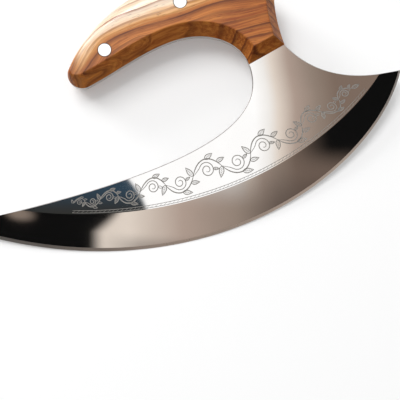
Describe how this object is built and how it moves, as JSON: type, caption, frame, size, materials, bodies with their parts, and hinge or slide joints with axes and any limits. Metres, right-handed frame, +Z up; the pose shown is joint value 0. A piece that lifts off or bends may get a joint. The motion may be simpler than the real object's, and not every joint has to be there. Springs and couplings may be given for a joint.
{
  "type": "ulu knife",
  "caption": "Crescent ulu knife for rocking and scraping cuts: a bevel-ground steel blade runs up a neck into a curved full-tang grip with pinned, faceted wooden scales.",
  "frame": {"origin": "centre of the bottom of the bounding box, on the surface that the knife lies on", "axes": "+X along the chord between the blade's tips, towards the tip beside the neck; +Y from the cutting edge towards the handle; +Z up, out of the knife's front face"},
  "size_m": [0.2174, 0.117, 0.0251],
  "materials": {
    "blade_steel": "mirror-polished stainless steel with a satin edge bevel and fine etched ornament",
    "olive_wood": "oiled and polished tan wood with brown growth lines, semi-gloss",
    "pin_steel": "steel pins ground flush and polished"
  },
  "bodies": {
    "root": {"blade": "blade_steel", "front_scale": "olive_wood", "back_scale": "olive_wood", "free_end_pin": "pin_steel", "middle_pin": "pin_steel", "stem_pin": "pin_steel"}
  },
  "joints": []
}
